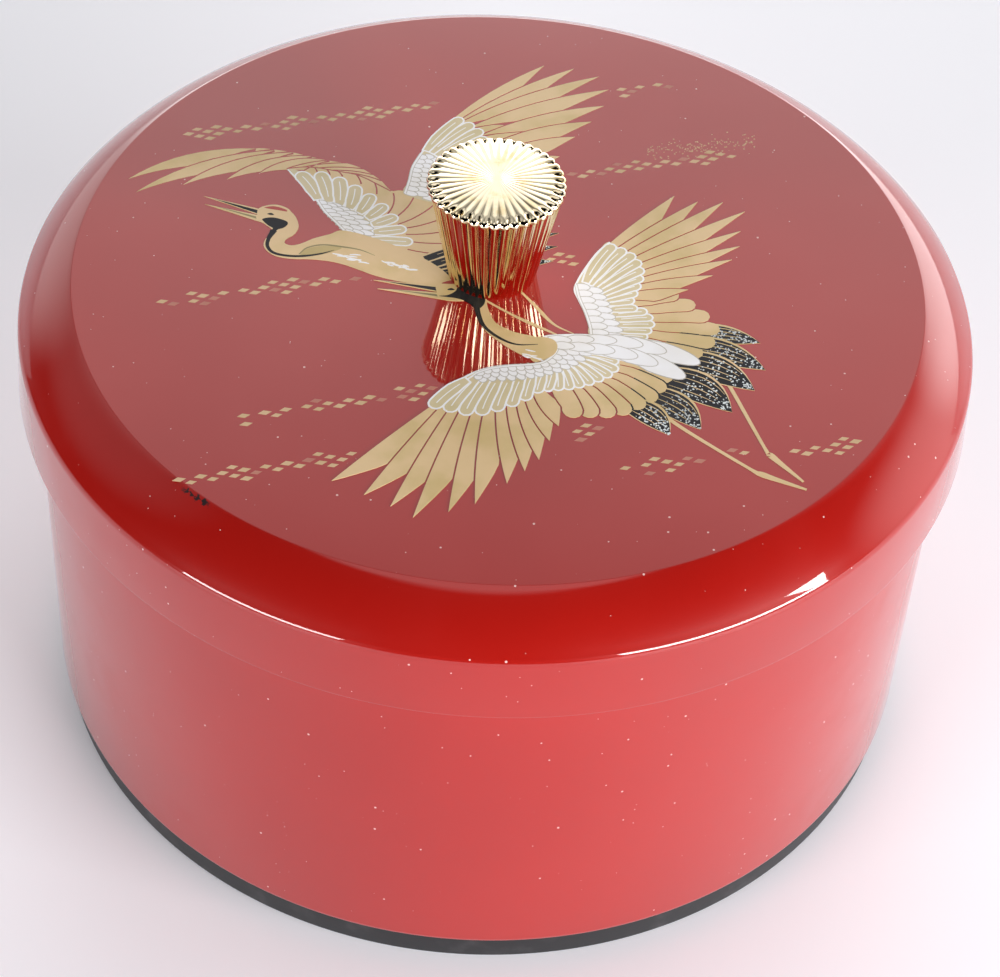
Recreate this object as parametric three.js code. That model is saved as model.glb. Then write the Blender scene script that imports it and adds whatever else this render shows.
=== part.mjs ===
// A round lacquer box for sweets, in millimetres, +Z up, with its origin in the middle of its
// underside. A hollow tub stands on a black foot ring. The lid slips over the tub's mouth, seats
// on its rim by a ledge, and carries a gold-plated fluted knob on its flat top.

import * as THREE from 'three';

// Tub and foot ring.
const TUB_RADIUS = 102;
const TUB_WALL = 3;
const TUB_FLOOR = 3;
const RIM_HEIGHT = 101.5;
const RIM_ROUND = 0.8;
const TUB_EDGE_ROUND = 2.2;
const TUB_INNER_ROUND = 6;
const FOOT_HEIGHT = 6;
const FOOT_INSET = 1.2;
const FOOT_WIDTH = 9;
const FOOT_CHAMFER = 0.6;

// Lid: the skirt flares slightly downwards, the shoulder is a small fillet, and the slope above it
// bulges a little on its way up to the crease around the flat top.
const LID_CLEARANCE = 0.8;
const SKIRT_WALL = 3.2;
const SKIRT_OVERLAP = 13.3;
const SKIRT_FLARE = 0.8;
const SKIRT_EDGE_ROUND = 0.9;
const SHOULDER_FILLET = 3;
const SHOULDER_RISE = 4.2;
const SLOPE_RISE = 8;
const SLOPE_WIDTH = 12.3;
const SLOPE_CROWN = 0.7;
const CREASE_ROUND = 0.8;
const LID_PLATE = 3;
const SEAT_WIDTH = 4;
const SEAT_LIP = 3.7;

// Knob: an upturned fluted cone with a scalloped rim and a sunburst top, a little off the middle.
const KNOB_OFFSET = -1.8;
const KNOB_HEIGHT = 25.9;
const KNOB_BASE_RADIUS = 9.6;
const KNOB_TOP_RADIUS = 15;
const KNOB_FLUTES = 40;
const FLUTE_DEPTH = 0.55;
const KNOB_RIM_HEIGHT = 1.6;
const KNOB_RIM_CHAMFER = 0.5;
const KNOB_RIM_LEDGE = 1.1;
const SUNBURST_DEPTH = 0.45;
const SUNBURST_RISE = 0.5;
const SUNBURST_HUB_RADIUS = 6;
const SUNBURST_HUB_RISE = 0.15;

// How finely the round forms are divided.
const ROUND_SEGMENTS = 72;
const ARC_STEPS = 4;
const SMALL_ARC_STEPS = 2;
const SLOPE_STEPS = 6;
const STEPS_PER_FLUTE = 4;

// What follows from the sizes above.
const TUB_BORE = TUB_RADIUS - TUB_WALL;
const LID_BORE = TUB_RADIUS + LID_CLEARANCE;
const LID_RADIUS = LID_BORE + SKIRT_WALL;
const SHOULDER_RADIUS = LID_RADIUS - SKIRT_FLARE;
const SHOULDER_HEIGHT = RIM_HEIGHT + SHOULDER_RISE;
const CREASE_RADIUS = SHOULDER_RADIUS - SLOPE_WIDTH;
const LID_TOP = SHOULDER_HEIGHT + SLOPE_RISE;

const RED = new THREE.MeshStandardMaterial({ color: 0xb8221c, roughness: 0.08, metalness: 0 });
const BLACK = new THREE.MeshStandardMaterial({ color: 0x1b1a1c, roughness: 0.35, metalness: 0 });
const GOLD = new THREE.MeshStandardMaterial({ color: 0xe8cf96, roughness: 0.12, metalness: 1 });

const point = (radius, height) => new THREE.Vector2(radius, height);

// Points of an arc around a centre in the (radius, height) plane, both ends included.
function arc(centre, radius, fromDegrees, toDegrees, steps = ARC_STEPS) {
  return Array.from({ length: steps + 1 }, (_, i) => {
    const angle = THREE.MathUtils.degToRad(fromDegrees + ((toDegrees - fromDegrees) * i) / steps);
    return point(centre.x + radius * Math.cos(angle), centre.y + radius * Math.sin(angle));
  });
}

// A turned solid from its profile, taken anticlockwise, with the axis upright along Z.
function turned(name, profile, material) {
  const geometry = new THREE.LatheGeometry(profile, ROUND_SEGMENTS);
  geometry.rotateX(Math.PI / 2);
  const mesh = new THREE.Mesh(geometry, material);
  mesh.name = name;
  return mesh;
}

// The black ring that the tub stands on, set back from the tub's side.
function footRing() {
  const outer = TUB_RADIUS - FOOT_INSET;
  const inner = outer - FOOT_WIDTH;
  return turned('foot_ring', [
    point(inner + FOOT_CHAMFER, 0),
    point(outer - FOOT_CHAMFER, 0),
    point(outer, FOOT_CHAMFER),
    point(outer, FOOT_HEIGHT),
    point(inner, FOOT_HEIGHT),
    point(inner, FOOT_CHAMFER),
    point(inner + FOOT_CHAMFER, 0),
  ], BLACK);
}

// The hollow tub: a flat floor, an upright wall and a rounded rim.
function tub() {
  const floor = FOOT_HEIGHT + TUB_FLOOR;
  const edge = point(TUB_RADIUS - TUB_EDGE_ROUND, FOOT_HEIGHT + TUB_EDGE_ROUND);
  const rimOutside = point(TUB_RADIUS - RIM_ROUND, RIM_HEIGHT - RIM_ROUND);
  const rimInside = point(TUB_BORE + RIM_ROUND, RIM_HEIGHT - RIM_ROUND);
  const corner = point(TUB_BORE - TUB_INNER_ROUND, floor + TUB_INNER_ROUND);
  return turned('tub', [
    point(0, FOOT_HEIGHT),
    ...arc(edge, TUB_EDGE_ROUND, -90, 0),
    ...arc(rimOutside, RIM_ROUND, 0, 90, SMALL_ARC_STEPS),
    ...arc(rimInside, RIM_ROUND, 90, 180, SMALL_ARC_STEPS),
    ...arc(corner, TUB_INNER_ROUND, 0, -90),
    point(0, floor),
  ], RED);
}

// The points between the ends of a line that bulges along its normal by the crown at its middle.
function crowned(from, to, crown, steps) {
  const normal = point(to.y - from.y, from.x - to.x).normalize();
  return Array.from({ length: steps - 1 }, (_, i) => {
    const share = (i + 1) / steps;
    const lift = crown * 4 * share * (1 - share);
    return from.clone().lerp(to, share).addScaledVector(normal, lift);
  });
}

// The hollow lid: skirt, shoulder, slope and flat top, with a seat inside for the tub's rim.
function lid() {
  const edge = RIM_HEIGHT - SKIRT_OVERLAP;
  const ceiling = LID_TOP - LID_PLATE;
  const seatEdge = LID_BORE - SEAT_WIDTH;
  const slopeNormal = THREE.MathUtils.radToDeg(Math.atan2(SLOPE_WIDTH, SLOPE_RISE));
  const skirtEdge = point(LID_RADIUS - SKIRT_EDGE_ROUND, edge + SKIRT_EDGE_ROUND);
  const fillet = point(SHOULDER_RADIUS - SHOULDER_FILLET, SHOULDER_HEIGHT - SHOULDER_FILLET);
  const shoulder = arc(fillet, SHOULDER_FILLET, 0, slopeNormal);
  const bend = point(CREASE_RADIUS, LID_TOP - CREASE_ROUND);
  const crease = arc(bend, CREASE_ROUND, slopeNormal, 90, SMALL_ARC_STEPS);
  return turned('lid', [
    point(LID_BORE + SKIRT_EDGE_ROUND, edge),
    ...arc(skirtEdge, SKIRT_EDGE_ROUND, -90, 0, SMALL_ARC_STEPS),
    ...shoulder,
    ...crowned(shoulder.at(-1), crease[0], SLOPE_CROWN, SLOPE_STEPS),
    ...crease,
    point(0, LID_TOP),
    point(0, ceiling),
    point(CREASE_RADIUS - LID_PLATE, ceiling),
    point(seatEdge, RIM_HEIGHT + SEAT_LIP),
    point(seatEdge, RIM_HEIGHT),
    point(LID_BORE, RIM_HEIGHT),
    point(LID_BORE, edge + SKIRT_EDGE_ROUND),
    point(LID_BORE + SKIRT_EDGE_ROUND, edge),
  ], RED);
}

// A level of the knob's surface: its ridges reach the radius and height, and the grooves between
// them lie that much further in and down.
const level = (radius, height, inwards, down) => ({ radius, height, inwards, down });

// The knob's levels from its foot, up its side and over its rim, to the hub of its sunburst.
function knobLevels() {
  const rimTop = KNOB_HEIGHT - SUNBURST_RISE;
  const rimFoot = rimTop - KNOB_RIM_HEIGHT;
  const petalRadius = KNOB_TOP_RADIUS - 2 * KNOB_RIM_LEDGE;
  const hubDepth = (SUNBURST_DEPTH * SUNBURST_HUB_RADIUS) / petalRadius;
  return [
    level(KNOB_BASE_RADIUS, 0, FLUTE_DEPTH, 0),
    level(KNOB_TOP_RADIUS - KNOB_RIM_CHAMFER, rimFoot, FLUTE_DEPTH, 0),
    level(KNOB_TOP_RADIUS, rimFoot + KNOB_RIM_CHAMFER, FLUTE_DEPTH, 0),
    level(KNOB_TOP_RADIUS, rimTop - KNOB_RIM_CHAMFER, FLUTE_DEPTH, 0),
    level(KNOB_TOP_RADIUS - KNOB_RIM_LEDGE, rimTop, FLUTE_DEPTH, SUNBURST_DEPTH),
    level(petalRadius, KNOB_HEIGHT - SUNBURST_HUB_RISE, 0, SUNBURST_DEPTH),
    level(SUNBURST_HUB_RADIUS, KNOB_HEIGHT, 0, hubDepth),
  ];
}

// The knob, standing on the lid's flat top. Ridges and grooves run up its side and across its top.
function knob() {
  const levels = knobLevels();
  const around = KNOB_FLUTES * STEPS_PER_FLUTE;
  const positions = [0, 0, 0];
  for (const { radius, height, inwards, down } of levels) {
    for (let i = 0; i < around; i += 1) {
      const angle = (2 * Math.PI * i) / around;
      const groove = 1 - Math.abs(Math.cos((angle * KNOB_FLUTES) / 2));
      const reach = radius - inwards * groove;
      positions.push(reach * Math.cos(angle), reach * Math.sin(angle), height - down * groove);
    }
  }
  positions.push(0, 0, KNOB_HEIGHT);
  const top = levels.length * around + 1;
  const indices = [];
  for (let i = 0; i < around; i += 1) {
    const next = (i + 1) % around;
    indices.push(0, 1 + next, 1 + i);
    for (let low = 1; low + around < top; low += around) {
      const high = low + around;
      indices.push(low + i, low + next, high + next, low + i, high + next, high + i);
    }
    indices.push(top - around + i, top - around + next, top);
  }
  const geometry = new THREE.BufferGeometry();
  geometry.setAttribute('position', new THREE.Float32BufferAttribute(positions, 3));
  geometry.setIndex(indices);
  geometry.computeVertexNormals();
  const mesh = new THREE.Mesh(geometry, GOLD);
  mesh.name = 'knob';
  mesh.position.set(KNOB_OFFSET, 0, LID_TOP);
  return mesh;
}

export default new THREE.Group().add(footRing(), tub(), lid(), knob());
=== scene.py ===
"""A round red lacquer sweet box with two cranes on its lid, on a pale studio floor.

The turned forms and the knob are written in millimetres, in the frame's own directions, and become
metres when their meshes are made. The picture is written in millimetres on the lid's flat top,
with +X to the right and +Y away from the viewer.
"""

import math
import random

import bpy
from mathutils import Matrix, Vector
from mathutils.geometry import delaunay_2d_cdt


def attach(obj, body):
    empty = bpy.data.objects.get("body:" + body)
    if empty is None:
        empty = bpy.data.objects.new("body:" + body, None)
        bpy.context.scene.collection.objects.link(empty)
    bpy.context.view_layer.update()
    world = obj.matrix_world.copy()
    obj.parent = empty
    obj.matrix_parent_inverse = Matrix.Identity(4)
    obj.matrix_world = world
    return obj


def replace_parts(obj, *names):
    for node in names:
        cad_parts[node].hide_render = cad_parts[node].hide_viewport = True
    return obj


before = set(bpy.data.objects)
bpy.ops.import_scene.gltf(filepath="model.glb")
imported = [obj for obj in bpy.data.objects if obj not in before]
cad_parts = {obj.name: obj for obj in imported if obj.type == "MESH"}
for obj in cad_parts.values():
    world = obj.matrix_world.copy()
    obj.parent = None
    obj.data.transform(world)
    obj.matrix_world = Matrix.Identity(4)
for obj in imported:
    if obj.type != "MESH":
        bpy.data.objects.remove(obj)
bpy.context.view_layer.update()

MM = 0.001

# Turned forms, as the frame's solids have them, but for a slightly fuller slope.
TUB_RADIUS = 102
TUB_WALL = 3
TUB_FLOOR = 3
RIM_HEIGHT = 101.5
RIM_ROUND = 0.8
TUB_EDGE_ROUND = 2.2
TUB_INNER_ROUND = 6
FOOT_HEIGHT = 6
FOOT_INSET = 1.2
FOOT_WIDTH = 9
FOOT_CHAMFER = 0.6
LID_CLEARANCE = 0.8
SKIRT_WALL = 3.2
SKIRT_OVERLAP = 13.3
SKIRT_FLARE = 0.8
SKIRT_EDGE_ROUND = 0.9
SHOULDER_FILLET = 3
SHOULDER_RISE = 4.2
SLOPE_RISE = 8
SLOPE_WIDTH = 12.3
SLOPE_CROWN = 0.85
CREASE_ROUND = 0.8
LID_PLATE = 3
SEAT_WIDTH = 4
SEAT_LIP = 3.7
ROUND_SEGMENTS = 256
SLOPE_STEPS = 14

# Knob.
KNOB_OFFSET = -1.8
KNOB_HEIGHT = 25.9
KNOB_BASE_RADIUS = 9.6
KNOB_TOP_RADIUS = 15
KNOB_FLUTES = 40
FLUTE_DEPTH = 0.55
KNOB_RIM_HEIGHT = 1.6
KNOB_RIM_CHAMFER = 0.5
KNOB_RIM_LEDGE = 1.1
RAY_DEPTH = 0.045
PIT_DEPTH = 0.7
SUNBURST_RISE = 0.5
SUNBURST_HUB_RADIUS = 6
SUNBURST_HUB_RISE = 0.15
PIT_SLOPE = 0.8
CENTRE_RADIUS = 1.5
CENTRE_DEPTH = 0.02
STEPS_PER_FLUTE = 12

# The rounded lip of the knob's rim, level by level: how far in from its edge and how far up from its
# top, the share of the flutes' depth that is left, and how deep the grooves across the top are.
KNOB_LIP = (
    (0, -0.9, 1, 0),
    (0.12, -0.5, 1, 0),
    (0.4, -0.1, 0.8, 0.1),
    (0.8, 0.1, 0.4, 0.25),
    (1.3, 0.2, 0, PIT_DEPTH),
)

# What follows from the sizes above.
TUB_BORE = TUB_RADIUS - TUB_WALL
LID_BORE = TUB_RADIUS + LID_CLEARANCE
LID_RADIUS = LID_BORE + SKIRT_WALL
SHOULDER_RADIUS = LID_RADIUS - SKIRT_FLARE
SHOULDER_HEIGHT = RIM_HEIGHT + SHOULDER_RISE
CREASE_RADIUS = SHOULDER_RADIUS - SLOPE_WIDTH
LID_TOP = SHOULDER_HEIGHT + SLOPE_RISE

# The printed picture: one thin film for each part of it, each on the one before.
FILM = 0.02
GAP = 0.38
COVERT_EDGE = 0.42
COVERT_SHAFT = 0.24
ARM_LINE = (0.35, 0.5, 0.5, 0.35)
TILE_EDGE = 0.22
TILE_OVERLAP = 1.08
TILE_RIM = 0.75
TILE_RIM_LINE = 0.45
BEAK_LENGTH = 13.1
SILVER_SPECKS = 95
CURVE_STEPS = 8
OUTLINE_STEPS = 5
MERGE_DISTANCE = 1e-4
MITRE_LIMIT = 0.6
NO_SPREAD = 1e-6

# The bands of small diamonds, and the flecks of gold beside them.
LATTICE_STEP = Vector((4.25, 1.3))
LATTICE_RISE = Vector((-0.75, 2.4))
DIAMOND_LONG = Vector((1.35, 0.44))
DIAMOND_SHORT = Vector((-0.32, 0.62))
DIAMOND_CORNERS = ((1, 0), (0, 1), (-1, 0), (0, -1))
FLECKS = 170

# A short dark rub on the lid, beside its crease.
SCUFF_AZIMUTH = 231.7
SCUFF_OUTSET = 0.9
SCUFF_REACH = 3.6
SCUFF_WIDTH = 0.75
SCUFF_FADE = 0.3

# The camera stands where the photograph was taken from.
CAMERA_PLACE = (0, -0.4661, 0.5205)
CAMERA_TARGET = (0.0031, 0, 0.0460)
CAMERA_ROLL = math.radians(3.74)
CAMERA_LENS = 101.5

# Soft panels of the studio: azimuth, elevation, where each is full and where it ends, in degrees,
# and its strength. The azimuth runs anticlockwise from +X, and the viewer stands at -90.
PANELS = (
    (90, 8, 3, 28, 4.3),
    (90, 28, 3, 28, 1.3),
    (55, 8, 3, 28, 3.2),
    (55, 48, 3, 26, 0.6),
    (125, 8, 3, 28, 1.3),
    (125, 48, 3, 28, 0.42),
    (20, 10, 3, 28, 1.4),
    (160, 35, 3, 28, 0.3),
    (90, 86, 14, 20, 1.0),
)

# Softboxes: azimuth, elevation, distance, width and height in metres, and power in watts.
SOFTBOXES = {
    "softbox_right": (-39, 18, 1.5, 1.2, 0.29, 27),
    "softbox_left": (-134, 16, 1.5, 0.9, 0.28, 12),
}
FLOOR_GLOW = 0.09
BACKGROUND = 0.95


def srgb(red, green, blue):
    """The linear colour of 8-bit display values, with full alpha."""
    shares = [value / 255 for value in (red, green, blue)]
    return [s / 12.92 if s <= 0.04045 else ((s + 0.055) / 1.055) ** 2.4 for s in shares] + [1]


def lerp(a, b, share):
    return a + (b - a) * share


# Materials

LACQUER_RED = srgb(170, 24, 17)
LACQUER_DEEP = srgb(162, 21, 15)
DUST = srgb(236, 200, 196)
SCUFF = srgb(44, 30, 32)
FLOOR_COLOR = srgb(246, 246, 252)


def add_node(tree, kind, inputs=(), **settings):
    """A shader node whose inputs take either a value or another node's socket."""
    made = tree.nodes.new("ShaderNode" + kind)
    for key, value in settings.items():
        setattr(made, key, value)
    for socket, value in dict(inputs).items():
        if isinstance(value, bpy.types.NodeSocket):
            tree.links.new(value, made.inputs[socket])
        else:
            made.inputs[socket].default_value = value
    return made


class Shader:
    """A material with its Principled shader, and short calls for the nodes that feed it."""

    def __init__(self, name, color, **sockets):
        self.material = bpy.data.materials.new(name)
        self.material.use_nodes = True
        self.tree = self.material.node_tree
        self.principled = self.tree.nodes["Principled BSDF"]
        self.principled.inputs["Base Color"].default_value = color
        for socket, value in sockets.items():
            self.principled.inputs[socket.replace("_", " ")].default_value = value
        self.place = self.tree.nodes.new("ShaderNodeTexCoord").outputs["Object"]

    def node(self, kind, inputs=(), **settings):
        return add_node(self.tree, kind, inputs, **settings)

    def noise(self, scale, detail):
        inputs = {"Vector": self.place, "Scale": scale, "Detail": detail}
        return self.node("TexNoise", inputs).outputs["Fac"]

    def math(self, operation, a, b=0.0):
        return self.node("Math", {0: a, 1: b}, operation=operation).outputs[0]

    def step(self, value, low, high, to_low=0.0, to_high=1.0):
        """A smooth step of a value between two limits."""
        inputs = {"Value": value, "From Min": low, "From Max": high, "To Min": to_low, "To Max": to_high}
        return self.node("MapRange", inputs, interpolation_type="SMOOTHSTEP").outputs[0]

    def mix(self, share, a, b):
        inputs = {0: share, 6: a, 7: b}
        return self.node("Mix", inputs, data_type="RGBA").outputs[2]

    def feed(self, socket, value):
        self.tree.links.new(value, self.principled.inputs[socket])

    def bump(self, height, strength, distance):
        inputs = {"Height": height, "Strength": strength, "Distance": distance}
        self.feed("Normal", self.node("Bump", inputs).outputs[0])

    def specks(self, cells, radius, kept):
        """Round specks of random size, one to a cell, with so many cells to the metre. A share of the
        specks is kept."""
        cell = self.node("TexVoronoi", {"Vector": self.place, "Scale": cells, "Randomness": 1.0})
        draw = self.node("SeparateColor", {0: cell.outputs["Color"]})
        reach = self.math("MULTIPLY", self.step(draw.outputs[1], 0.0, 1.0, 0.35, 1.0), radius * cells)
        shown = self.step(draw.outputs[0], 1 - kept, 1 - kept + 0.01)
        inside = self.math("LESS_THAN", cell.outputs["Distance"], reach)
        return self.math("MULTIPLY", inside, shown)


def lacquer(name, scuffed=False):
    """Glossy red lacquer: a clear coat over red, with dust specks and softly rubbed patches."""
    coat = {"Coat_Weight": 0.95, "Coat_Roughness": 0.03, "Coat_IOR": 1.62}
    shader = Shader(name, LACQUER_RED, Specular_IOR_Level=0.12, **coat)
    cloud = shader.noise(9, 4.0)
    red = shader.mix(shader.step(cloud, 0.35, 0.65), LACQUER_DEEP, LACQUER_RED)
    large, small = shader.specks(240, 0.00026, 0.75), shader.specks(420, 0.00013, 0.5)
    dust = shader.math("MAXIMUM", large, small)
    red = shader.mix(shader.math("MULTIPLY", dust, 0.85), red, DUST)
    if scuffed:
        red = shader.mix(scuff_mask(shader), red, SCUFF)
    shader.feed("Base Color", red)
    rubbed = shader.step(shader.noise(35, 6.0), 0.45, 0.7, 0.3, 0.4)
    shader.feed("Roughness", shader.math("MAXIMUM", rubbed, shader.math("MULTIPLY", dust, 0.6)))
    shader.bump(shader.noise(140, 2.0), 0.05, 0.0002)
    return shader.material


def scuff_mask(shader):
    """The ragged outline of the dark rub, which runs along the lid's crease at the left front."""
    around = math.radians(SCUFF_AZIMUTH)
    outwards = Vector((math.cos(around), math.sin(around), 0))
    onwards = Vector((-math.sin(around), math.cos(around), 0))
    middle = (outwards * (CREASE_RADIUS + SCUFF_OUTSET) + Vector((0, 0, LID_TOP))) * MM
    away = shader.node("VectorMath", {0: shader.place, 1: middle}, operation="SUBTRACT").outputs[0]
    run = shader.node("VectorMath", {0: away, 1: onwards}, operation="DOT_PRODUCT").outputs["Value"]
    off = shader.node("VectorMath", {0: away, 1: outwards}, operation="DOT_PRODUCT").outputs["Value"]
    torn = shader.step(shader.noise(900, 4.0), 0.3, 0.7, -0.5, 0.9)
    ragged = shader.math("MULTIPLY", torn, SCUFF_WIDTH * MM)
    beyond = shader.math("SUBTRACT", shader.math("ABSOLUTE", off), ragged)
    near = shader.step(beyond, 0.0, SCUFF_FADE * MM, 1.0, 0.0)
    full, gone = 0.7 * SCUFF_REACH * MM, 1.2 * SCUFF_REACH * MM
    ends = shader.step(shader.math("ABSOLUTE", run), full, gone, 1.0, 0.0)
    return shader.math("MULTIPLY", near, ends)


def printed(name, color, shade, **sockets):
    """A printed colour that drifts towards a second shade in soft patches."""
    shader = Shader(name, color, **sockets)
    patches = shader.step(shader.noise(70, 5.0), 0.42, 0.7)
    shader.feed("Base Color", shader.mix(patches, color, shade))
    shader.bump(shader.noise(2600, 2.0), 0.12, 0.00004)
    return shader.material


def print_materials():
    """The printed colours, in the order of the picture's slots."""
    return [
        printed("print_gold", srgb(222, 190, 142), srgb(204, 176, 118)),
        printed("print_covert", srgb(214, 198, 160), srgb(200, 184, 138)),
        printed("print_white", srgb(245, 244, 248), srgb(236, 233, 232)),
        printed("print_line", srgb(196, 190, 186), srgb(178, 170, 158)),
        printed("print_black", srgb(20, 19, 26), srgb(34, 34, 40), Specular_IOR_Level=0.15),
        printed("print_silver", srgb(222, 228, 230), srgb(180, 186, 188)),
        printed("print_crown", srgb(172, 44, 34), srgb(150, 34, 28)),
        printed("print_shade", srgb(142, 128, 76), srgb(120, 108, 66)),
        printed("print_khaki", srgb(192, 168, 108), srgb(176, 152, 92)),
        printed("print_flake", srgb(210, 174, 132), srgb(194, 160, 112)),
        printed("print_worn", srgb(186, 116, 96), srgb(172, 96, 80)),
    ]


def gold_plate():
    """Pale gold plate, nearly a mirror, with faint wear."""
    color, worn = srgb(250, 236, 204), srgb(238, 212, 162)
    shader = Shader("gold_plate", color, Metallic=1.0)
    shader.feed("Base Color", shader.mix(shader.step(shader.noise(240, 4.0), 0.45, 0.75), color, worn))
    shader.feed("Roughness", shader.step(shader.noise(420, 5.0), 0.4, 0.75, 0.05, 0.16))
    shader.bump(shader.noise(1500, 2.0), 0.05, 0.00005)
    return shader.material


def black_foot():
    """Satin black, slightly dusty."""
    color, dusty = srgb(30, 30, 32), srgb(66, 64, 66)
    shader = Shader("black_foot", color, Roughness=0.42)
    shader.feed("Base Color", shader.mix(shader.step(shader.noise(160, 6.0), 0.5, 0.85), color, dusty))
    shader.bump(shader.noise(1800, 3.0), 0.15, 0.00008)
    return shader.material


# Turned forms

def arc(centre, radius, start, end, steps=10):
    """Points of an arc in the (radius, height) plane, in degrees, both ends included."""
    angles = [math.radians(lerp(start, end, i / steps)) for i in range(steps + 1)]
    return [(centre[0] + radius * math.cos(a), centre[1] + radius * math.sin(a)) for a in angles]


def crowned(start, end, crown):
    """The points between two ends of a line that bulges along its normal by the crown."""
    start, end = Vector(start), Vector(end)
    normal = Vector((end.y - start.y, start.x - end.x)).normalized()
    shares = [i / SLOPE_STEPS for i in range(1, SLOPE_STEPS)]
    return [tuple(start.lerp(end, s) + normal * crown * 4 * s * (1 - s)) for s in shares]


def lid_profile():
    edge = RIM_HEIGHT - SKIRT_OVERLAP
    ceiling = LID_TOP - LID_PLATE
    seat_edge = LID_BORE - SEAT_WIDTH
    normal = math.degrees(math.atan2(SLOPE_WIDTH, SLOPE_RISE))
    bulge = math.degrees(math.atan(4 * SLOPE_CROWN / math.hypot(SLOPE_WIDTH, SLOPE_RISE)))
    skirt_edge = (LID_RADIUS - SKIRT_EDGE_ROUND, edge + SKIRT_EDGE_ROUND)
    fillet = (SHOULDER_RADIUS - SHOULDER_FILLET, SHOULDER_HEIGHT - SHOULDER_FILLET)
    shoulder = arc(fillet, SHOULDER_FILLET, 0, normal - bulge, 16)
    crease = arc((CREASE_RADIUS, LID_TOP - CREASE_ROUND), CREASE_ROUND, normal + bulge, 90, 6)
    return [
        (LID_BORE + SKIRT_EDGE_ROUND, edge),
        *arc(skirt_edge, SKIRT_EDGE_ROUND, -90, 0, 6),
        *shoulder,
        *crowned(shoulder[-1], crease[0], SLOPE_CROWN),
        *crease,
        (0, LID_TOP),
        (0, ceiling),
        (CREASE_RADIUS - LID_PLATE, ceiling),
        (seat_edge, RIM_HEIGHT + SEAT_LIP),
        (seat_edge, RIM_HEIGHT),
        (LID_BORE, RIM_HEIGHT),
        (LID_BORE, edge + SKIRT_EDGE_ROUND),
        (LID_BORE + SKIRT_EDGE_ROUND, edge),
    ]


def tub_profile():
    floor = FOOT_HEIGHT + TUB_FLOOR
    return [
        (0, FOOT_HEIGHT),
        *arc((TUB_RADIUS - TUB_EDGE_ROUND, FOOT_HEIGHT + TUB_EDGE_ROUND), TUB_EDGE_ROUND, -90, 0),
        *arc((TUB_RADIUS - RIM_ROUND, RIM_HEIGHT - RIM_ROUND), RIM_ROUND, 0, 90, 5),
        *arc((TUB_BORE + RIM_ROUND, RIM_HEIGHT - RIM_ROUND), RIM_ROUND, 90, 180, 5),
        *arc((TUB_BORE - TUB_INNER_ROUND, floor + TUB_INNER_ROUND), TUB_INNER_ROUND, 0, -90),
        (0, floor),
    ]


def foot_profile():
    outer = TUB_RADIUS - FOOT_INSET
    inner = outer - FOOT_WIDTH
    return [
        (inner + FOOT_CHAMFER, 0),
        *arc((outer - FOOT_CHAMFER, FOOT_CHAMFER), FOOT_CHAMFER, -90, 0, 4),
        (outer, FOOT_HEIGHT),
        (inner, FOOT_HEIGHT),
        (inner, FOOT_CHAMFER),
        (inner + FOOT_CHAMFER, 0),
    ]


def mesh_piece(name, points, faces, materials, smooth_angle=25):
    """A piece of the object from points in millimetres, with smooth shading up to an angle."""
    mesh = bpy.data.meshes.new(name)
    mesh.from_pydata([Vector(p) * MM for p in points], [], faces)
    mesh.shade_smooth()
    mesh.set_sharp_from_angle(angle=math.radians(smooth_angle))
    for material in materials:
        mesh.materials.append(material)
    piece = bpy.data.objects.new(name, mesh)
    bpy.context.collection.objects.link(piece)
    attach(piece, "root")
    return piece


def turned(name, profile, material):
    """A turned piece from its profile, taken anticlockwise. Points on the axis become one vertex."""
    closed = profile[0] == profile[-1]
    profile = profile[:-1] if closed else profile
    points, rings = [], []
    for radius, height in profile:
        if radius == 0:
            rings.append([len(points)] * ROUND_SEGMENTS)
            points.append((0, 0, height))
            continue
        rings.append(list(range(len(points), len(points) + ROUND_SEGMENTS)))
        for i in range(ROUND_SEGMENTS):
            angle = math.tau * i / ROUND_SEGMENTS
            points.append((radius * math.cos(angle), radius * math.sin(angle), height))
    faces = []
    pairs = list(zip(rings, rings[1:])) + ([(rings[-1], rings[0])] if closed else [])
    for low, high in pairs:
        for i in range(ROUND_SEGMENTS):
            j = (i + 1) % ROUND_SEGMENTS
            corners = dict.fromkeys((low[i], low[j], high[j], high[i]))
            if len(corners) > 2:
                faces.append(tuple(corners))
    return mesh_piece(name, points, faces, [material])


# Knob

def knob_levels():
    """Levels of the knob's surface: ridge radius and height, and how far the grooves go in and down."""
    rim_top = KNOB_HEIGHT - SUNBURST_RISE
    rim_foot = rim_top - KNOB_RIM_HEIGHT
    petal_radius = KNOB_TOP_RADIUS - 2 * KNOB_RIM_LEDGE
    lip = [
        (KNOB_TOP_RADIUS - inset, rim_top + rise, FLUTE_DEPTH * share, down)
        for inset, rise, share, down in KNOB_LIP
    ]
    return [
        (KNOB_BASE_RADIUS, 0, FLUTE_DEPTH, 0),
        (KNOB_TOP_RADIUS - KNOB_RIM_CHAMFER, rim_foot, FLUTE_DEPTH, 0),
        (KNOB_TOP_RADIUS, rim_foot + KNOB_RIM_CHAMFER, FLUTE_DEPTH, 0),
        *lip,
        (petal_radius, KNOB_HEIGHT - SUNBURST_HUB_RISE, 0, PIT_DEPTH * 0.6),
        (petal_radius - PIT_SLOPE, KNOB_HEIGHT - SUNBURST_HUB_RISE * 0.9, 0, RAY_DEPTH),
        (SUNBURST_HUB_RADIUS, KNOB_HEIGHT, 0, RAY_DEPTH * 0.5),
        (CENTRE_RADIUS, KNOB_HEIGHT, 0, CENTRE_DEPTH),
    ]


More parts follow.
